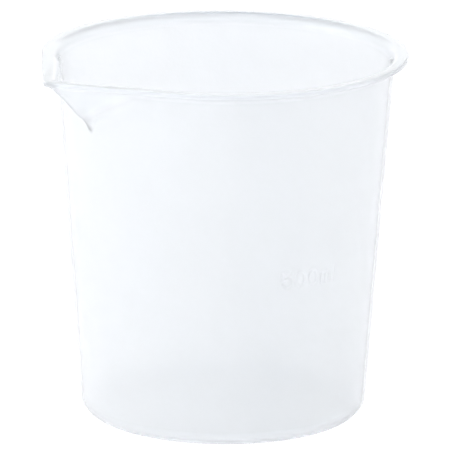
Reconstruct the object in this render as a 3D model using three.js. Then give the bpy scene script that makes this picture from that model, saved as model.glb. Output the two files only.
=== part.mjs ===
// Tapered laboratory beaker, one translucent polypropylene moulding, drawn as its natural features.
// Millimetres, +Z up. Origin on the vessel's axis at the standing plane.
// The pouring spout points to -X and the capacity mark faces -Y.

import * as THREE from 'three';
import * as BufferGeometryUtils from 'three/addons/utils/BufferGeometryUtils.js';

// ---- driving dimensions -------------------------------------------------------------------------

const RIM_Z = 131.5;            // top of the flange above the standing plane
const BASE_R = 50.5;            // outer wall line carried down to the standing plane
const TOP_R = 60.2;             // outer wall line carried up to the rim
const WALL_T = 1.0;
const FLOOR_T = 1.3;
const HEEL_R = 7;               // outside rounding between floor and wall
const HEEL_TOP_Z = 10;          // seam between heel and wall
const FLOOR_EDGE_R = 42;        // seam between floor panel and heel
const COLLAR_Z = 108;           // seam below the lowest point of the spout

const FLANGE_R = 65;            // outer edge of the flange
const FLANGE_T = 1.7;
const FLANGE_EDGE = 0.5;        // rounding of the flange's outer edge
const FLANGE_ROLL = 3.0;        // rounding where the wall turns out into the flange
const FLANGE_FILLET = 2.0;      // fillet under the flange
const FLANGE_SEAM_Z = RIM_Z - FLANGE_T - FLANGE_FILLET;
const FILLET_SHARE = 0.9;       // most of the overhang that the fillet may take where it is short
const MIN_FILLET = 0.1;
const FILLET_STEPS = 3;
const ROLL_STEPS = 5;

const SPOUT_AZ = Math.PI;       // the spout points to -X
const SPOUT_HALF = radians(40); // half-width of the piece that carries the spout
const SPOUT_DEPTH = 21.5;       // how far below the rim the keel meets the wall
const FACET_DEPTH = 16.3;       // how far below the rim the flat sides run out
const KEEL_TIP_R = 80.3;        // keel line carried up to the rim, before rounding
const KEEL_SLOPE = 1.22;
const KEEL_CURVE = 0.0118;
const CREASE_TOP = radians(34); // half-width of the spout at the rim
const TAIL_HALF = radians(6);   // sets the narrow tail below the flat sides
const KEEL_ROUND = radians(1.2);
const LIP_TIP_R = 79.6;         // flange edge at the spout's tip, before rounding
const BEAK_SKIN = 1.4;          // thickness through the keel, measured level
const BEAK_LIP = 3.6;           // extra thickness through the keel at the rim
const BEAK_FADE = 5;            // depth over which the extra thickness dies away

const LATHE_SLICES = 96;
const MERGE_DISTANCE = 1e-4;
const PLAIN_STEP = radians(3.75);
const SPOUT_SLICES = 44;
const SPOUT_GATHER = 1.5;       // how much closer the slices stand at the keel

const MARK_Z = 61.5;            // centre height of the capacity mark
const MARK_AZ = radians(-94);   // the mark sits just off the -Y direction
const MARK_H = 6;
const MARK_STROKE = 0.9;
const MARK_RELIEF = 0.25;
const MARK_SEAT = 0.05;         // clearance that keeps a mark just off the faceted wall
const MARK_ARC_STEPS = 10;
const FIVE_BAR_LEFT = -1.25;    // ends of the five's top bar, about the digit's middle
const FIVE_BAR_RIGHT = 1.5;
const FIVE_NECK = [-1.45, 0.1]; // where its upright meets the bowl
const FIVE_BOWL_X = 0.1;
const FIVE_BOWL_R = 1.55;
const ZERO_HALF_W = 2.1;
const M_HEIGHT = 3.9;
const M_LEG = 1.75;             // spacing of the legs

// ---- materials ----------------------------------------------------------------------------------

const WALL_PLASTIC = { color: 0xeef3f7, roughness: 0.38, metalness: 0, opacity: 0.45, transparent: true };
const MARK_PLASTIC = { color: 0xf2f6fa, roughness: 0.45, metalness: 0, opacity: 0.6, transparent: true };

// ---- small helpers ------------------------------------------------------------------------------

function radians(degrees) {
  return degrees * Math.PI / 180;
}

// Outer radius of the plain wall at height z.
function wallRadius(z) {
  return BASE_R + (TOP_R - BASE_R) * z / RIM_Z;
}

// Radius, at angle phi from the spout, of a round of radius r drawn out to an apex.
// The sides run straight from the apex to the round, which they meet at the crease angle.
function drawnOutRadius(phi, r, apex, crease) {
  if (crease <= 0 || apex <= r) return r;
  const x = r * Math.cos(crease);
  const y = r * Math.sin(crease);
  const a = Math.hypot(phi, KEEL_ROUND);
  if (a >= crease) return r;
  const side = apex * y / (y * Math.cos(a) + (apex - x) * Math.sin(a));
  return Math.max(r, side);
}

// Half-width of the spout: flat sides that narrow steadily, running out in a narrow tail.
function creaseAngle(depth) {
  const sides = CREASE_TOP * Math.max(0, 1 - depth / FACET_DEPTH);
  const tail = TAIL_HALF * Math.sqrt(Math.max(0, 1 - depth / SPOUT_DEPTH));
  return Math.hypot(sides, tail);
}

function keelRadius(depth) {
  return KEEL_TIP_R - KEEL_SLOPE * depth + KEEL_CURVE * depth * depth;
}

// Outer and inner surface of the upper wall, spout included.
function outerRadius(phi, z) {
  const depth = RIM_Z - z;
  return drawnOutRadius(phi, wallRadius(z), keelRadius(depth), creaseAngle(depth));
}

function innerRadius(phi, z) {
  const depth = RIM_Z - z;
  const keel = keelRadius(depth) - BEAK_SKIN - BEAK_LIP * Math.exp(-depth / BEAK_FADE);
  return drawnOutRadius(phi, wallRadius(z) - WALL_T, keel, creaseAngle(depth));
}

// Outer edge of the flange: round, with straight sides that meet at the spout's tip.
function flangeRadius(phi) {
  return drawnOutRadius(phi, FLANGE_R, LIP_TIP_R, Math.acos(FLANGE_R / LIP_TIP_R));
}

// Angles across the spout, closer together at its keel.
function spoutAngles() {
  return Array.from({ length: SPOUT_SLICES + 1 }, (_, i) => {
    const t = 2 * i / SPOUT_SLICES - 1;
    return SPOUT_HALF * Math.sign(t) * Math.abs(t) ** SPOUT_GATHER;
  });
}

// Evenly spaced angles round the rest of the vessel.
function plainAngles() {
  const span = 2 * Math.PI - 2 * SPOUT_HALF;
  const count = Math.round(span / PLAIN_STEP);
  return Array.from({ length: count + 1 }, (_, i) => SPOUT_HALF + span * i / count);
}

// Sweeps a closed profile round the axis. profileAt(phi) gives [radius, z] points in a fixed order.
// A full turn closes on itself; a part turn gets a flat cap at each end.
function sweptRing(profileAt, angles, fullTurn) {
  const positions = [];
  const indices = [];
  const rings = angles.map((phi) => profileAt(phi));
  const n = rings[0].length;
  rings.forEach((ring, k) => {
    const az = SPOUT_AZ + angles[k];
    for (const [r, z] of ring) positions.push(r * Math.cos(az), r * Math.sin(az), z);
  });
  const spans = fullTurn ? rings.length : rings.length - 1;
  for (let k = 0; k < spans; k++) {
    const here = k * n;
    const next = ((k + 1) % rings.length) * n;
    for (let i = 0; i < n; i++) {
      const j = (i + 1) % n;
      indices.push(here + i, next + i, next + j);
      indices.push(here + i, next + j, here + j);
    }
  }
  if (!fullTurn) {
    const last = (rings.length - 1) * n;
    const firstCap = capTriangles(rings[0]);
    const lastCap = capTriangles(rings[rings.length - 1]);
    for (const [a, b, c] of firstCap) indices.push(a, b, c);
    for (const [a, b, c] of lastCap) indices.push(last + a, last + c, last + b);
  }
  const geometry = new THREE.BufferGeometry();
  geometry.setAttribute('position', new THREE.Float32BufferAttribute(positions, 3));
  geometry.setIndex(indices);
  return geometry;
}

function capTriangles(ring) {
  const outline = ring.map(([r, z]) => new THREE.Vector2(r, z));
  return THREE.ShapeUtils.triangulateShape(outline, []);
}

function lathed(profile) {
  const points = profile.map(([r, z]) => new THREE.Vector2(r, z));
  const geometry = new THREE.LatheGeometry(points, LATHE_SLICES);
  geometry.rotateX(Math.PI / 2);
  return geometry;
}

// Points along an arc about (cx, cz), both ends included.
function arcPoints(cx, cz, r, from, to, steps) {
  return Array.from({ length: steps + 1 }, (_, i) => {
    const a = from + (to - from) * i / steps;
    return [cx + r * Math.cos(a), cz + r * Math.sin(a)];
  });
}

function named(name, geometry, look) {
  geometry.deleteAttribute('normal');
  geometry.deleteAttribute('uv');
  const merged = BufferGeometryUtils.mergeVertices(geometry, MERGE_DISTANCE);
  merged.computeVertexNormals();
  const mesh = new THREE.Mesh(merged, new THREE.MeshStandardMaterial(look));
  mesh.name = name;
  return mesh;
}

// ---- vessel -------------------------------------------------------------------------------------

function floorPanel() {
  return named('floor_panel', lathed([
    [0, 0], [FLOOR_EDGE_R, 0], [FLOOR_EDGE_R, FLOOR_T], [0, FLOOR_T],
  ]), WALL_PLASTIC);
}

// Rounded corner from the floor up into the tapered wall.
function heelRing() {
  const taper = Math.atan((TOP_R - BASE_R) / RIM_Z);
  const steps = 7;
  const innerR = HEEL_R - WALL_T;
  // Centre of the outside rounding: tangent to the standing plane and to the wall line.
  const centreR = BASE_R + HEEL_R * Math.tan(taper) - HEEL_R / Math.cos(taper);
  const outside = arcPoints(centreR, HEEL_R, HEEL_R, -Math.PI / 2, -taper, steps);
  const innerCentreZ = FLOOR_T + innerR;
  const innerCentreR = wallRadius(innerCentreZ) - WALL_T - innerR / Math.cos(taper);
  const inside = arcPoints(innerCentreR, innerCentreZ, innerR, -taper, -Math.PI / 2, steps);
  const profile = [
    [FLOOR_EDGE_R, 0],
    ...outside,
    [wallRadius(HEEL_TOP_Z), HEEL_TOP_Z],
    [wallRadius(HEEL_TOP_Z) - WALL_T, HEEL_TOP_Z],
    ...inside,
    [FLOOR_EDGE_R, FLOOR_T],
    [FLOOR_EDGE_R, 0],
  ];
  return named('heel_ring', lathed(profile), WALL_PLASTIC);
}

function sideWall() {
  const low = wallRadius(HEEL_TOP_Z);
  const high = wallRadius(COLLAR_Z);
  const profile = [
    [low - WALL_T, HEEL_TOP_Z],
    [low, HEEL_TOP_Z],
    [high, COLLAR_Z],
    [high - WALL_T, COLLAR_Z],
    [low - WALL_T, HEEL_TOP_Z],
  ];
  return named('side_wall', lathed(profile), WALL_PLASTIC);
}

// Profile of the upper wall between the plain wall and the flange.
function upperWallProfile(phi) {
  const steps = 8;
  const heights = Array.from({ length: steps + 1 }, (_, i) => COLLAR_Z + (FLANGE_SEAM_Z - COLLAR_Z) * i / steps);
  const outside = heights.map((z) => [outerRadius(phi, z), z]);
  const inside = heights.map((z) => [innerRadius(phi, z), z]).reverse();
  return [...outside, ...inside];
}

function plainCollarProfile(phi) {
  return [
    [outerRadius(phi, COLLAR_Z), COLLAR_Z],
    [outerRadius(phi, FLANGE_SEAM_Z), FLANGE_SEAM_Z],
    [innerRadius(phi, FLANGE_SEAM_Z), FLANGE_SEAM_Z],
    [innerRadius(phi, COLLAR_Z), COLLAR_Z],
  ];
}

function collarWall() {
  return named('collar_wall', sweptRing(plainCollarProfile, plainAngles(), false), WALL_PLASTIC);
}

function pouringSpout() {
  return named('pouring_spout', sweptRing(upperWallProfile, spoutAngles(), false), WALL_PLASTIC);
}

// Flat flange with a rolled inner corner, a rounded edge and a fillet underneath.
function flangeProfile(phi) {
  const edge = flangeRadius(phi);
  const under = RIM_Z - FLANGE_T;
  const rollZ = RIM_Z - FLANGE_ROLL;
  const rollR = innerRadius(phi, rollZ) + FLANGE_ROLL;
  const roll = arcPoints(rollR, rollZ, FLANGE_ROLL, Math.PI / 2, Math.PI, ROLL_STEPS);
  const room = edge - FLANGE_EDGE - outerRadius(phi, under);
  const run = Math.min(FLANGE_FILLET, Math.max(MIN_FILLET, room * FILLET_SHARE));
  const fillet = Array.from({ length: FILLET_STEPS }, (_, i) => {
    const t = Math.PI / 2 * (i + 1) / FILLET_STEPS;
    const z = FLANGE_SEAM_Z + FLANGE_FILLET * Math.sin(t);
    return [outerRadius(phi, z) + run * (1 - Math.cos(t)), z];
  });
  return [
    [innerRadius(phi, FLANGE_SEAM_Z), FLANGE_SEAM_Z],
    [outerRadius(phi, FLANGE_SEAM_Z), FLANGE_SEAM_Z],
    ...fillet,
    [edge - FLANGE_EDGE, under],
    [edge, under + FLANGE_EDGE],
    [edge, RIM_Z - FLANGE_EDGE],
    [edge - FLANGE_EDGE, RIM_Z],
    ...roll,
  ];
}

function rimFlange() {
  const angles = [...spoutAngles(), ...plainAngles().slice(1, -1)];
  return named('rim_flange', sweptRing(flangeProfile, angles, true), WALL_PLASTIC);
}

// ---- capacity mark ------------------------------------------------------------------------------

// Lays a flat raised outline on the tapered wall.
function onWall(geometry) {
  const position = geometry.attributes.position;
  const spread = wallRadius(MARK_Z);
  for (let i = 0; i < position.count; i++) {
    const z = MARK_Z + position.getY(i);
    const az = MARK_AZ + position.getX(i) / spread;
    const r = wallRadius(z) + MARK_SEAT + position.getZ(i);
    position.setXYZ(i, r * Math.cos(az), r * Math.sin(az), z);
  }
  return geometry;
}

function raised(shape) {
  const settings = { depth: MARK_RELIEF, bevelEnabled: false, curveSegments: MARK_ARC_STEPS };
  return onWall(new THREE.ExtrudeGeometry(shape, settings));
}

// Outline of a constant-width stroke along a polyline.
function strokeOutline(path, width) {
  const sides = [1, -1].map((side) => path.map(([x, y], i) => {
    const [px, py] = path[Math.max(0, i - 1)];
    const [nx, ny] = path[Math.min(path.length - 1, i + 1)];
    const before = new THREE.Vector2(x - px, y - py).normalize();
    const after = new THREE.Vector2(nx - x, ny - y).normalize();
    const along = before.clone().add(after).normalize();
    const straight = i === 0 ? after : before;
    const spread = Math.max(0.5, along.dot(straight));
    const offset = side * width / 2 / spread;
    return new THREE.Vector2(x - along.y * offset, y + along.x * offset);
  }));
  return [...sides[0], ...sides[1].reverse()];
}

function strokedDigitFive(name, x) {
  const half = MARK_H / 2 - MARK_STROKE / 2;
  const bowlY = FIVE_BOWL_R - half;
  const bowl = arcPoints(FIVE_BOWL_X, bowlY, FIVE_BOWL_R, radians(115), radians(-150), MARK_ARC_STEPS);
  const bar = [[FIVE_BAR_RIGHT, half], [FIVE_BAR_LEFT, half]];
  const path = [...bar, FIVE_NECK, ...bowl].map(([u, v]) => [u + x, v]);
  return named(name, raised(new THREE.Shape(strokeOutline(path, MARK_STROKE))), MARK_PLASTIC);
}

function ovalDigitZero(name, x) {
  const shape = new THREE.Shape();
  shape.absellipse(x, 0, ZERO_HALF_W, MARK_H / 2, 0, 2 * Math.PI, false, 0);
  const hole = new THREE.Path();
  hole.absellipse(x, 0, ZERO_HALF_W - MARK_STROKE, MARK_H / 2 - MARK_STROKE, 0, 2 * Math.PI, true, 0);
  shape.holes.push(hole);
  return named(name, raised(shape), MARK_PLASTIC);
}

// Lower-case m: a comb with three legs under a rounded bar.
function letterM(name, x) {
  const foot = -MARK_H / 2;
  const top = foot + M_HEIGHT;
  const s = MARK_STROKE;
  const left = x - M_LEG - s / 2;
  const right = x + M_LEG + s / 2;
  const shape = new THREE.Shape();
  shape.moveTo(left, foot);
  shape.lineTo(left + s, foot);
  shape.lineTo(left + s, top - s);
  shape.lineTo(x - s / 2, top - s);
  shape.lineTo(x - s / 2, foot);
  shape.lineTo(x + s / 2, foot);
  shape.lineTo(x + s / 2, top - s);
  shape.lineTo(right - s, top - s);
  shape.lineTo(right - s, foot);
  shape.lineTo(right, foot);
  shape.lineTo(right, top - s);
  shape.lineTo(right - s, top);
  shape.lineTo(left, top);
  shape.closePath();
  return named(name, raised(shape), MARK_PLASTIC);
}

function letterL(name, x) {
  const half = MARK_STROKE / 2;
  const corners = [[-half, -MARK_H / 2], [half, -MARK_H / 2], [half, MARK_H / 2], [-half, MARK_H / 2]];
  const outline = corners.map(([u, v]) => new THREE.Vector2(u + x, v));
  return named(name, raised(new THREE.Shape(outline)), MARK_PLASTIC);
}

// ---- assembly -----------------------------------------------------------------------------------

const beaker = new THREE.Group();
beaker.name = 'beaker';
beaker.add(
  floorPanel(),
  heelRing(),
  sideWall(),
  collarWall(),
  pouringSpout(),
  rimFlange(),
  strokedDigitFive('mark_five', -9),
  ovalDigitZero('mark_zero_left', -3.6),
  ovalDigitZero('mark_zero_right', 1.6),
  letterM('mark_m', 7.2),
  letterL('mark_l', 10.9),
);

export default beaker;
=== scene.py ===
"""Looks for the beaker: one milky polypropylene moulding on a plain pale floor, in soft studio light."""

import math

import bpy
import bmesh
from mathutils import Matrix, Vector
from mathutils.kdtree import KDTree


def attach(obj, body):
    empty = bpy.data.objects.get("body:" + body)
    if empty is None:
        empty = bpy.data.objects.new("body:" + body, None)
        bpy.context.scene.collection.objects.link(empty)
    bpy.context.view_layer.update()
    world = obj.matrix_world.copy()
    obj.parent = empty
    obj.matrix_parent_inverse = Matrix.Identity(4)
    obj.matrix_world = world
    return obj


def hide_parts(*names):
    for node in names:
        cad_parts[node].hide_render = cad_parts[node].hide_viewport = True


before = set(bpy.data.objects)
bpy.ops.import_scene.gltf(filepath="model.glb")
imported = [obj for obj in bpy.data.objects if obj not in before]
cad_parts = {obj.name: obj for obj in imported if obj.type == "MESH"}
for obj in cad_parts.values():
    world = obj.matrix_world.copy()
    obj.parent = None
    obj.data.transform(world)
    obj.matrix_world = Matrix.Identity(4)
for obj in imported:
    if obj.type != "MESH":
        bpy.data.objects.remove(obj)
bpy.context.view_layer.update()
MM = 0.001

# ---- vessel dimensions, in millimetres -----------------------------------------------------------

RIM_Z = 131.5
BASE_R = 50.5                   # the outer wall's taper, carried down to the floor ...
TOP_R = 60.2                    # ... and up to the rim
WALL_T = 1.0
FLOOR_T = 1.3
HEEL_R = 7.0
HEEL_TOP_Z = 10.0
COLLAR_Z = 108.0                # the spout starts above this

FLANGE_R = 64.97
FLANGE_T = 1.7
FLANGE_EDGE = 0.5               # rounding of the flange's outer edge
FLANGE_ROLL = 3.0               # rounding from the flange's top into the inner wall
FLANGE_FILLET = 2.0             # rounding from the outer wall into the flange's underside
FILLET_SHARE = 0.9              # the most of the flange's overhang that the fillet takes up
FILLET_LEAST = 0.1

SPOUT_AZ = math.pi
SPOUT_DEPTH = 21.5              # how far the spout's tail reaches below the rim
FACET_DEPTH = 16.3              # how far its flat sides reach
KEEL_TIP_R = 80.3
KEEL_SLOPE = 1.22
KEEL_CURVE = 0.0118
KEEL_ROUND = math.radians(1.2)
CREASE_TOP = math.radians(34)   # half-width of the flat sides at the rim
TAIL_HALF = math.radians(6)
LIP_TIP_R = 79.55
BEAK_SKIN = 1.4                 # thickness along the keel ...
BEAK_LIP = 3.6                  # ... and what the lip adds to it, fading out downwards
BEAK_FADE = 5.0

CREASE_SOFTEN = math.radians(1.6)
CREASE_NARROW = math.radians(12)    # narrower creases are softened less ...
CREASE_NEAR_KEEL = math.radians(8)  # ... and so is anything this near the keel
CREASE_WEIGHTS = (1, 2, 3, 2, 1)

# ---- raised capacity mark, in millimetres --------------------------------------------------------

MARK_AZ = math.radians(-94)
MARK_Z = 61.5
MARK_H = 6.0
MARK_STROKE = 0.9
MARK_RELIEF = 0.2
MARK_SOFT = 0.3                 # half-width of the shoulder round each stroke
MARK_SPAN_U = 12.5              # half the width, and half the height, of the patch divided finely for it
MARK_SPAN_V = 4.0
MARK_MARGIN = 2.0               # beyond that width the wall is taken as plain

FIVE_BAR = (-10.25, -7.5)
FIVE_STEM_FOOT = (-10.45, 0.1)
FIVE_BOWL_U = -8.9
FIVE_BOWL_R = 1.55
FIVE_BOWL_ENDS = (115, -150)    # degrees
ZERO_MIDDLES = (-3.6, 1.6)
ZERO_HALF_WIDTH = 1.65
M_LEFT = 5.45
M_SHOULDER = 2.6
M_SPUR = 0.8
M_ARCH_R = 0.875
L_MIDDLE = 10.9
CURVE_STEPS = 24

# ---- how finely the vessel is divided ------------------------------------------------------------

SPOUT_HALF = math.radians(42)
SPOUT_SLICES = 110
SPOUT_GATHER = 1.5              # gathers the slices towards the keel
PLAIN_STEP = math.radians(1.75)
MARK_STEP = 0.25
MARK_POINT_STEP = 0.2
FLOOR_RINGS = (8, 16, 24, 31, 37, 41)
HEEL_STEPS = 12
OUTER_ROWS = 10                 # rows below the mark, and again above it
OUTER_SPOUT_ROWS = 20
INNER_SPOUT_ROWS = 22
INNER_ROWS = 28
FILLET_STEPS = 5
EDGE_STEPS = 4
ROLL_STEPS = 6
FLANGE_TOP_RINGS = (0.66, 0.33) # shares of the way from the roll to the edge
BELOW_ROLL = 0.6                # mm from the foot of the roll to the next ring

# ---- looks ---------------------------------------------------------------------------------------

HAZE_LOW = (0.980, 0.990, 1.0)      # the thin wall's colour drifts between these two
HAZE_HIGH = (0.986, 0.994, 1.0)
MILK_AND_SHADE_COLOUR = (0.91, 0.935, 0.965)   # colour where the plastic is thickest; its darker blue-grey is partly painted shade, in the rim's roll and at the heel
CLEAR_THIN = 0.72                   # share of light let through by the wall ...
CLEAR_THICK = 0.48                  # ... and where the plastic is thickest
SPOUT_MILK = 0.35                   # how far the spout and the heel go towards the thickest; at the heel this is painted shade on the floor and heel
HEEL_SHADE = 0.5
FLANGE_MILK_AND_SHADE_DROP = 4.5              # mm below the rim where the flange's milk starts, carrying painted shade down the roll
SPOUT_MILK_START = 0.5              # mm outside the wall's top radius
SPOUT_MILK_END = 3.0
HEEL_SHADE_FULL_Z = 1.5              # mm above the ground
HEEL_SHADE_END_Z = 6.0
NOISE_SPREAD = (0.3, 0.7)           # the part of a noise's range that is put to use
HAZE_SCALE, HAZE_DETAIL = 38, 4
HAZE_STRETCH = (1, 1, 0.35)
SATIN_SCALE, SATIN_DETAIL = 160, 5
SATIN_ROUGHNESS = (0.07, 0.11)
GRAIN_SCALE, GRAIN_DETAIL = 900, 2
GRAIN_STRENGTH, GRAIN_HEIGHT = 0.05, 0.0004
FLOW_SCALE, FLOW_DETAIL = 26, 2
FLOW_STRETCH = (1, 1, 0.2)
FLOW_STRENGTH, FLOW_HEIGHT = 0.06, 0.004
MILK_SHARE = 0.4
MILK_DEPTH = 0.0015                 # how far light wanders in the plastic, in metres
CORE_IOR = 1.3                      # low, so that edges stay as pale as in a milky plastic
GLOSS_IOR = 1.49                    # polypropylene
GLOSS_WEIGHT = 0.45
GLOSS_ROUGHNESS = 0.08

FLOOR_GREY = (0.08, 0.08, 0.08)
GLOW_COLOUR = (0.955, 0.968, 1.0)
GLOW_SPREAD = 0.07                  # metres to either side over which the floor's glow falls off
GLOW_LEFT = 1.18
GLOW_RIGHT = 1.06

# ---- studio, in metres ---------------------------------------------------------------------------

FLOOR_HALF = 6.0
FLOOR_GAP = 0.0005                  # keeps the floor's surface off the underside
LIGHT_AIM = (0, 0, 0.07)

TENT_WHITE = (1.0, 1.0, 1.0)
CAMERA_SIDE = (0.84, 0.88, 0.92)
BACKDROP = (1.12, 1.12, 1.12)
GAP_COLOUR = (0.02, 0.08, 0.25)
CAMERA_SIDE_CONE = (85, 20)         # degrees from that part's middle where it starts, and is full
BACKDROP_CONE = (40, 15)
GAP_CONE = (14, 5)
GAP_TURN = math.radians(-5)
GAP_HEIGHT = math.radians(44)

CAMERA_AZ = math.radians(-37)
CAMERA_ELEVATION = math.radians(14.8)
CAMERA_ROLL = math.radians(0.44)
CAMERA_DISTANCE = 3.0
CAMERA_LENS = 675.0
CAMERA_SENSOR = 36
CAMERA_REACH = 100
CAMERA_AIM_RIGHT = 0.0004
CAMERA_AIM_UP = 0.0023

VIEW_RIGHT = Vector((math.cos(CAMERA_AZ), math.sin(CAMERA_AZ), 0))
VIEW_BACK = Vector((math.sin(CAMERA_AZ) * math.cos(CAMERA_ELEVATION),
                    -math.cos(CAMERA_AZ) * math.cos(CAMERA_ELEVATION),
                    math.sin(CAMERA_ELEVATION)))
VIEW_UP = VIEW_BACK.cross(VIEW_RIGHT)

KEY_PLACE = -VIEW_RIGHT * 1.3 + VIEW_BACK * 0.3 + Vector((0, 0, 0.12))
KEY_SIZE = (0.8, 0.22)
KEY_POWER = 3.5
TOP_PLACE = VIEW_BACK * 0.2 + Vector((0, 0, 1.4))
TOP_SIZE = (1.2, 1.2)
TOP_POWER = 3


# ---- shape helpers -------------------------------------------------------------------------------

def between(low, high, steps):
    return [low + (high - low) * i / steps for i in range(steps + 1)]


def arc(cx, cy, r, start, end, steps):
    """Points on an arc, its ends given in degrees."""
    angles = [math.radians(a) for a in between(start, end, steps)]
    return [(cx + r * math.cos(a), cy + r * math.sin(a)) for a in angles]


def resample(points, step):
    """Points along a polyline at an even spacing."""
    dense = []
    for (u0, v0), (u1, v1) in zip(points, points[1:]):
        n = max(1, round(math.hypot(u1 - u0, v1 - v0) / step))
        dense += [(u0 + (u1 - u0) * i / n, v0 + (v1 - v0) * i / n) for i in range(n)]
    return dense + [points[-1]]


# ---- raised capacity mark ------------------------------------------------------------------------

def mark_centre_lines():
    """Points along the strokes of the mark, u along the wall and v up it, about the mark's middle."""
    half = MARK_H / 2 - MARK_STROKE / 2
    bar_left, bar_right = FIVE_BAR
    strokes = [
        [(bar_right, half), (bar_left, half), FIVE_STEM_FOOT],
        arc(FIVE_BOWL_U, -half + FIVE_BOWL_R, FIVE_BOWL_R, *FIVE_BOWL_ENDS, CURVE_STEPS),
    ]
    turn = between(0, 2 * math.pi, 2 * CURVE_STEPS)
    for middle in ZERO_MIDDLES:
        strokes.append([(middle + ZERO_HALF_WIDTH * math.cos(t), half * math.sin(t)) for t in turn])
    shoulder = -half + M_SHOULDER
    strokes.append([(M_LEFT, -half), (M_LEFT, shoulder + M_SPUR)])
    for left in (M_LEFT, M_LEFT + 2 * M_ARCH_R):
        arch = arc(left + M_ARCH_R, shoulder, M_ARCH_R, 180, 0, CURVE_STEPS // 2)
        strokes.append(arch + [(left + 2 * M_ARCH_R, -half)])
    strokes.append([(L_MIDDLE, -half), (L_MIDDLE, half)])
    return [point for stroke in strokes for point in resample(stroke, MARK_POINT_STEP)]


class Mark:
    """Height of the raised mark above the plain wall."""

    def __init__(self):
        points = [(u, v, 0) for u, v in mark_centre_lines()]
        self.tree = KDTree(len(points))
        for i, point in enumerate(points):
            self.tree.insert(point, i)
        self.tree.balance()

    def height(self, az, z):
        if abs(az - MARK_AZ) * TOP_R >= MARK_SPAN_U + MARK_MARGIN:
            return 0
        u = (az - MARK_AZ) * wall_radius(MARK_Z)
        distance = self.tree.find((u, z - MARK_Z, 0))[2]
        edge = MARK_STROKE / 2
        t = min(1.0, max(0.0, (edge + MARK_SOFT - distance) / (2 * MARK_SOFT)))
        return MARK_RELIEF * t * t * (3 - 2 * t)


# ---- vessel shape --------------------------------------------------------------------------------

def wall_radius(z):
    return BASE_R + (TOP_R - BASE_R) * z / RIM_Z


def drawn_out(phi, r, apex, crease):
    """Radius, at angle phi from the spout, of a round of radius r drawn out to an apex."""
    if crease <= 0 or apex <= r:
        return r
    x, y = r * math.cos(crease), r * math.sin(crease)
    a = math.hypot(phi, KEEL_ROUND)
    if a >= crease:
        return r
    return max(r, apex * y / (y * math.cos(a) + (apex - x) * math.sin(a)))


def softened(phi, r, apex, crease):
    """The same outline with its creases rounded; the keel keeps its own rounding."""
    reach = CREASE_SOFTEN * min(1.0, crease / CREASE_NARROW) * min(1.0, abs(phi) / CREASE_NEAR_KEEL)
    middle = len(CREASE_WEIGHTS) // 2
    total = sum(w * drawn_out(phi + reach * (i - middle), r, apex, crease)
                for i, w in enumerate(CREASE_WEIGHTS))
    return total / sum(CREASE_WEIGHTS)


def crease_angle(depth):
    """Half-width of the spout: flat sides that narrow steadily, running out in a narrow tail."""
    sides = CREASE_TOP * max(0.0, 1 - depth / FACET_DEPTH)
    tail = TAIL_HALF * math.sqrt(max(0.0, 1 - depth / SPOUT_DEPTH))
    return math.hypot(sides, tail)


def keel_radius(depth):
    return KEEL_TIP_R - KEEL_SLOPE * depth + KEEL_CURVE * depth * depth


def outer_radius(phi, z):
    depth = RIM_Z - z
    return softened(phi, wall_radius(z), keel_radius(depth), crease_angle(depth))


def inner_radius(phi, z):
    depth = RIM_Z - z
    keel = keel_radius(depth) - BEAK_SKIN - BEAK_LIP * math.exp(-depth / BEAK_FADE)
    return softened(phi, wall_radius(z) - WALL_T, keel, crease_angle(depth))


def flange_radius(phi):
    return drawn_out(phi, FLANGE_R, LIP_TIP_R, math.acos(FLANGE_R / LIP_TIP_R))


def outer_wall_levels():
    """Heights of the plain outer wall's rings, closer together across the mark."""
    low, high = MARK_Z - MARK_SPAN_V, MARK_Z + MARK_SPAN_V
    fine = between(low, high, round(2 * MARK_SPAN_V / MARK_STEP))
    return between(HEEL_TOP_Z, low, OUTER_ROWS)[:-1] + fine + between(high, COLLAR_Z, OUTER_ROWS)[1:]


TAPER = math.atan((TOP_R - BASE_R) / RIM_Z)
FLANGE_UNDER_Z = RIM_Z - FLANGE_T
FILLET_Z = FLANGE_UNDER_Z - FLANGE_FILLET
ROLL_Z = RIM_Z - FLANGE_ROLL
OUTER_WALL_LEVELS = outer_wall_levels()


def outside_profile(phi, mark):
    """From the underside up the outer wall to the foot of the flange's fillet."""
    heel_r = BASE_R + HEEL_R * math.tan(TAPER) - HEEL_R / math.cos(TAPER)
    az = SPOUT_AZ + phi - 2 * math.pi
    points = [(r, 0.0) for r in FLOOR_RINGS]
    points += arc(heel_r, HEEL_R, HEEL_R, -90, -math.degrees(TAPER), HEEL_STEPS)
    points += [(wall_radius(z) + mark.height(az, z), z) for z in OUTER_WALL_LEVELS]
    points += [(outer_radius(phi, z), z) for z in between(COLLAR_Z, FILLET_Z, OUTER_SPOUT_ROWS)[1:]]
    return points


def flange_profile(phi):
    """Round the flange: fillet, underside, outer edge, flat top and the roll into the inner wall."""
    edge = flange_radius(phi)
    edge_middle = edge - FLANGE_EDGE
    overhang = edge_middle - outer_radius(phi, FLANGE_UNDER_Z)
    run = min(FLANGE_FILLET, max(FILLET_LEAST, overhang * FILLET_SHARE))
    points = []
    for i in range(1, FILLET_STEPS + 1):
        t = math.radians(90 * i / FILLET_STEPS)
        z = FILLET_Z + FLANGE_FILLET * math.sin(t)
        points.append((outer_radius(phi, z) + run * (1 - math.cos(t)), z))
    points += arc(edge_middle, FLANGE_UNDER_Z + FLANGE_EDGE, FLANGE_EDGE, -90, 0, EDGE_STEPS)
    points += arc(edge_middle, RIM_Z - FLANGE_EDGE, FLANGE_EDGE, 0, 90, EDGE_STEPS)
    roll_r = inner_radius(phi, ROLL_Z) + FLANGE_ROLL
    points += [(roll_r + (edge_middle - roll_r) * k, RIM_Z) for k in FLANGE_TOP_RINGS]
    points += arc(roll_r, ROLL_Z, FLANGE_ROLL, 90, 180, ROLL_STEPS)
    return points


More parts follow.
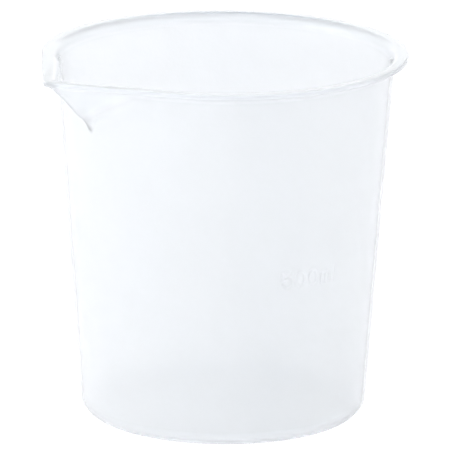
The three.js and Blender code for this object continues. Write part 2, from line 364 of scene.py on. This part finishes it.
def inside_profile(phi):
    """From below the roll down the inner wall and round the heel to the middle of the floor."""
    inner_heel = HEEL_R - WALL_T
    heel_z = FLOOR_T + inner_heel
    heel_r = wall_radius(heel_z) - WALL_T - inner_heel / math.cos(TAPER)
    spout_levels = between(ROLL_Z - BELOW_ROLL, COLLAR_Z, INNER_SPOUT_ROWS)
    points = [(inner_radius(phi, z), z) for z in spout_levels]
    points += [(wall_radius(z) - WALL_T, z) for z in between(COLLAR_Z, HEEL_TOP_Z, INNER_ROWS)[1:]]
    points += arc(heel_r, heel_z, inner_heel, -math.degrees(TAPER), -90, HEEL_STEPS)
    points += [(r, FLOOR_T) for r in reversed(FLOOR_RINGS)]
    return points


def vessel_profile(phi, mark):
    """Outline of the moulding at one angle, from its underside round the rim to its floor."""
    return outside_profile(phi, mark) + flange_profile(phi) + inside_profile(phi)


def slice_angles():
    """Angles from the spout, closer together across the spout and across the mark."""
    middle = MARK_AZ - SPOUT_AZ + 2 * math.pi
    span = MARK_SPAN_U / wall_radius(MARK_Z)
    stops = [SPOUT_HALF, middle - span, middle + span, 2 * math.pi - SPOUT_HALF]
    steps = [PLAIN_STEP, MARK_STEP / wall_radius(MARK_Z), PLAIN_STEP]
    shares = between(-1, 1, SPOUT_SLICES)[:-1]
    angles = [math.copysign(SPOUT_HALF * abs(t) ** SPOUT_GATHER, t) for t in shares]
    for low, high, step in zip(stops, stops[1:], steps):
        angles += between(low, high, round((high - low) / step))[:-1]
    return angles


def make_vessel():
    """The whole moulding as one closed mesh."""
    mark = Mark()
    bm = bmesh.new()
    rings = []
    for phi in slice_angles():
        az = SPOUT_AZ + phi
        wrapped = phi if phi <= math.pi else phi - 2 * math.pi
        rings.append([
            bm.verts.new((r * math.cos(az) * MM, r * math.sin(az) * MM, z * MM))
            for r, z in vessel_profile(wrapped, mark)
        ])
    below = bm.verts.new((0, 0, 0))
    above = bm.verts.new((0, 0, FLOOR_T * MM))
    for here, there in zip(rings, rings[1:] + rings[:1]):
        bm.faces.new((below, there[0], here[0]))
        bm.faces.new((above, here[-1], there[-1]))
        for a, b, c, d in zip(here, there, there[1:], here[1:]):
            bm.faces.new((a, b, c, d))
    bmesh.ops.recalc_face_normals(bm, faces=bm.faces)
    mesh = bpy.data.meshes.new("beaker_body")
    bm.to_mesh(mesh)
    bm.free()
    for polygon in mesh.polygons:
        polygon.use_smooth = True
    vessel = bpy.data.objects.new("beaker_body", mesh)
    bpy.context.scene.collection.objects.link(vessel)
    return vessel


# ---- shader helpers ------------------------------------------------------------------------------

def node(tree, kind, **settings):
    made = tree.nodes.new(kind)
    for key, value in settings.items():
        setattr(made, key, value)
    return made


def ramp(tree, source, low, high, low_value, high_value):
    """A map from one range to another."""
    made = node(tree, "ShaderNodeMapRange")
    made.inputs["From Min"].default_value = low
    made.inputs["From Max"].default_value = high
    made.inputs["To Min"].default_value = low_value
    made.inputs["To Max"].default_value = high_value
    tree.links.new(source, made.inputs["Value"])
    return made.outputs["Result"]


def noise(tree, coords, scale, detail, stretch=(1, 1, 1)):
    mapping = node(tree, "ShaderNodeMapping")
    mapping.inputs["Scale"].default_value = stretch
    tree.links.new(coords, mapping.inputs["Vector"])
    made = node(tree, "ShaderNodeTexNoise")
    made.inputs["Scale"].default_value = scale
    made.inputs["Detail"].default_value = detail
    tree.links.new(mapping.outputs["Vector"], made.inputs["Vector"])
    return made.outputs["Fac"]


def blended(tree, factor, first, second):
    """A mix of two colours, each of them fixed or taken from a socket."""
    made = node(tree, "ShaderNodeMix", data_type="RGBA")
    tree.links.new(factor, made.inputs["Factor"])
    for name, colour in (("A", first), ("B", second)):
        if isinstance(colour, tuple):
            made.inputs[name].default_value = (*colour, 1)
        else:
            tree.links.new(colour, made.inputs[name])
    return made.outputs["Result"]


def larger(tree, a, b):
    made = node(tree, "ShaderNodeMath", operation="MAXIMUM")
    tree.links.new(a, made.inputs[0])
    tree.links.new(b, made.inputs[1])
    return made.outputs["Value"]


def along(tree, coords, direction):
    """How far coords reach in a fixed direction."""
    made = node(tree, "ShaderNodeVectorMath", operation="DOT_PRODUCT")
    made.inputs[1].default_value = direction
    tree.links.new(coords, made.inputs[0])
    return made.outputs["Value"]


def bump(tree, height, strength, distance, under=None):
    """A surface normal raised by height, on top of another normal if there is one."""
    made = node(tree, "ShaderNodeBump")
    made.inputs["Strength"].default_value = strength
    made.inputs["Distance"].default_value = distance
    tree.links.new(height, made.inputs["Height"])
    if under:
        tree.links.new(under, made.inputs["Normal"])
    return made.outputs["Normal"]


# ---- materials -----------------------------------------------------------------------------------

def thickness(tree, coords):
    """1 at the flange's top, where the moulding is thickest, and part of that in spout and heel; in the
    roll and at the heel this darker milk is painted shade.
    """
    across = node(tree, "ShaderNodeVectorMath", operation="MULTIPLY")
    across.inputs[1].default_value = (1, 1, 0)
    tree.links.new(coords, across.inputs[0])
    length = node(tree, "ShaderNodeVectorMath", operation="LENGTH")
    tree.links.new(across.outputs["Vector"], length.inputs[0])
    radius = length.outputs["Value"]
    split = node(tree, "ShaderNodeSeparateXYZ")
    tree.links.new(coords, split.inputs["Vector"])
    height = split.outputs["Z"]
    # the rim's milk, whose darker colour in the roll is painted shade
    flange = ramp(tree, height, (RIM_Z - FLANGE_MILK_AND_SHADE_DROP) * MM, RIM_Z * MM, 0, 1)
    spout = ramp(tree, radius, (TOP_R + SPOUT_MILK_START) * MM, (TOP_R + SPOUT_MILK_END) * MM,
                 0, SPOUT_MILK)
    # painted shade: the floor and the foot of the heel made darker and milkier
    heel = ramp(tree, height, HEEL_SHADE_FULL_Z * MM, HEEL_SHADE_END_Z * MM, HEEL_SHADE, 0)
    return larger(tree, larger(tree, flange, spout), heel)


def milky_plastic():
    """Half clear, half milky plastic under a gloss, milkier where it is thicker, and darker there as
    painted shade in the rim's roll and at the heel.
    """
    material = bpy.data.materials.new("milky_polypropylene")
    material.use_nodes = True
    tree = material.node_tree
    shader = tree.nodes["Principled BSDF"]
    coords = node(tree, "ShaderNodeTexCoord").outputs["Object"]

    haze = ramp(tree, noise(tree, coords, HAZE_SCALE, HAZE_DETAIL, HAZE_STRETCH), *NOISE_SPREAD, 0, 1)
    wall_colour = blended(tree, haze, HAZE_LOW, HAZE_HIGH)
    # how milky each point is, with painted shade in the rim's roll and at the heel
    milk_and_shade = thickness(tree, coords)
    tree.links.new(blended(tree, milk_and_shade, wall_colour, MILK_AND_SHADE_COLOUR), shader.inputs["Base Color"])
    clearness = ramp(tree, milk_and_shade, 0, 1, CLEAR_THIN, CLEAR_THICK)
    tree.links.new(clearness, shader.inputs["Transmission Weight"])

    satin = ramp(tree, noise(tree, coords, SATIN_SCALE, SATIN_DETAIL), *NOISE_SPREAD, *SATIN_ROUGHNESS)
    tree.links.new(satin, shader.inputs["Roughness"])

    grain = noise(tree, coords, GRAIN_SCALE, GRAIN_DETAIL)
    flow = noise(tree, coords, FLOW_SCALE, FLOW_DETAIL, FLOW_STRETCH)
    grained = bump(tree, grain, GRAIN_STRENGTH, GRAIN_HEIGHT)
    surface = bump(tree, flow, FLOW_STRENGTH, FLOW_HEIGHT, under=grained)
    tree.links.new(surface, shader.inputs["Normal"])

    shader.inputs["IOR"].default_value = CORE_IOR
    shader.inputs["Subsurface Weight"].default_value = MILK_SHARE
    shader.inputs["Subsurface Radius"].default_value = (1, 1, 1)
    shader.inputs["Subsurface Scale"].default_value = MILK_DEPTH
    shader.inputs["Specular IOR Level"].default_value = 0.5
    shader.inputs["Coat Weight"].default_value = GLOSS_WEIGHT
    shader.inputs["Coat IOR"].default_value = GLOSS_IOR
    shader.inputs["Coat Roughness"].default_value = GLOSS_ROUGHNESS
    return material


def floor_material():
    """A dark grey floor made pale by a glow of its own, painted light that is a little stronger at the
    left and washes out the beaker's shadow.
    """
    material = bpy.data.materials.new("pale_floor")
    material.use_nodes = True
    tree = material.node_tree
    shader = tree.nodes["Principled BSDF"]
    shader.inputs["Base Color"].default_value = (*FLOOR_GREY, 1)
    shader.inputs["Roughness"].default_value = 0.9
    shader.inputs["Specular IOR Level"].default_value = 0.1
    shader.inputs["Emission Color"].default_value = (*GLOW_COLOUR, 1)
    sideways = along(tree, node(tree, "ShaderNodeTexCoord").outputs["Object"], VIEW_RIGHT)
    glow = ramp(tree, sideways, -GLOW_SPREAD, GLOW_SPREAD, GLOW_LEFT, GLOW_RIGHT)
    tree.links.new(glow, shader.inputs["Emission Strength"])
    return material


# ---- studio parts --------------------------------------------------------------------------------

def studio_floor():
    bm = bmesh.new()
    bmesh.ops.create_grid(bm, x_segments=8, y_segments=8, size=FLOOR_HALF)
    mesh = bpy.data.meshes.new("studio_floor")
    bm.to_mesh(mesh)
    bm.free()
    made = bpy.data.objects.new("studio_floor", mesh)
    made.location.z = -FLOOR_GAP
    made.data.materials.append(floor_material())
    bpy.context.scene.collection.objects.link(made)
    return made


def softbox(name, position, size, power):
    data = bpy.data.lights.new(name, "AREA")
    data.shape = "RECTANGLE"
    data.size, data.size_y = size
    data.energy = power
    light = bpy.data.objects.new(name, data)
    light.location = position
    aim = Vector(LIGHT_AIM) - position
    light.rotation_euler = aim.to_track_quat("-Z", "Y").to_euler()
    bpy.context.scene.collection.objects.link(light)


def lies_in(tree, direction, middle, cone):
    """How far a direction lies into one part of the room, 0 outside its cone and 1 near its middle."""
    start, full = (math.cos(math.radians(angle)) for angle in cone)
    made = ramp(tree, along(tree, direction, middle.normalized()), start, full, 0, 1)
    made.node.interpolation_type = "SMOOTHSTEP"
    return made


def studio_dome(world):
    """A white tent, darker on the camera's side, with a bright low backdrop and an unlit gap above it."""
    world.use_nodes = True
    tree = world.node_tree
    direction = node(tree, "ShaderNodeTexCoord").outputs["Generated"]
    away = Vector((-VIEW_BACK.x, -VIEW_BACK.y, 0)).normalized()
    level = away * math.cos(GAP_TURN) + VIEW_RIGHT * math.sin(GAP_TURN)
    gap_middle = level * math.cos(GAP_HEIGHT) + Vector((0, 0, math.sin(GAP_HEIGHT)))

    colour = TENT_WHITE
    for middle, cone, shade in ((VIEW_BACK, CAMERA_SIDE_CONE, CAMERA_SIDE),
                                (away, BACKDROP_CONE, BACKDROP),
                                (gap_middle, GAP_CONE, GAP_COLOUR)):
        colour = blended(tree, lies_in(tree, direction, middle, cone), colour, shade)
    background = tree.nodes["Background"]
    tree.links.new(colour, background.inputs["Color"])
    background.inputs["Strength"].default_value = 1.0


def studio_camera():
    data = bpy.data.cameras.new("camera")
    data.sensor_width = CAMERA_SENSOR
    data.lens = CAMERA_LENS
    data.clip_end = CAMERA_REACH
    camera = bpy.data.objects.new("camera", data)
    target = Vector((0, 0, RIM_Z / 2 * MM)) + VIEW_RIGHT * CAMERA_AIM_RIGHT + VIEW_UP * CAMERA_AIM_UP
    facing = Matrix((VIEW_RIGHT, VIEW_UP, VIEW_BACK)).transposed().to_4x4()
    camera.matrix_world = (Matrix.Translation(target + VIEW_BACK * CAMERA_DISTANCE)
                           @ facing @ Matrix.Rotation(CAMERA_ROLL, 4, "Z"))
    bpy.context.scene.collection.objects.link(camera)
    return camera


# ---- build ---------------------------------------------------------------------------------------

body = make_vessel()
body.data.materials.append(milky_plastic())
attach(body, "root")
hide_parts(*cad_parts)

floor = studio_floor()

scene = bpy.context.scene
scene.view_settings.view_transform = "Standard"
scene.world = bpy.data.worlds.new("studio")
studio_dome(scene.world)
softbox("key_left", KEY_PLACE, KEY_SIZE, KEY_POWER)
softbox("top", TOP_PLACE, TOP_SIZE, TOP_POWER)
scene.camera = studio_camera()
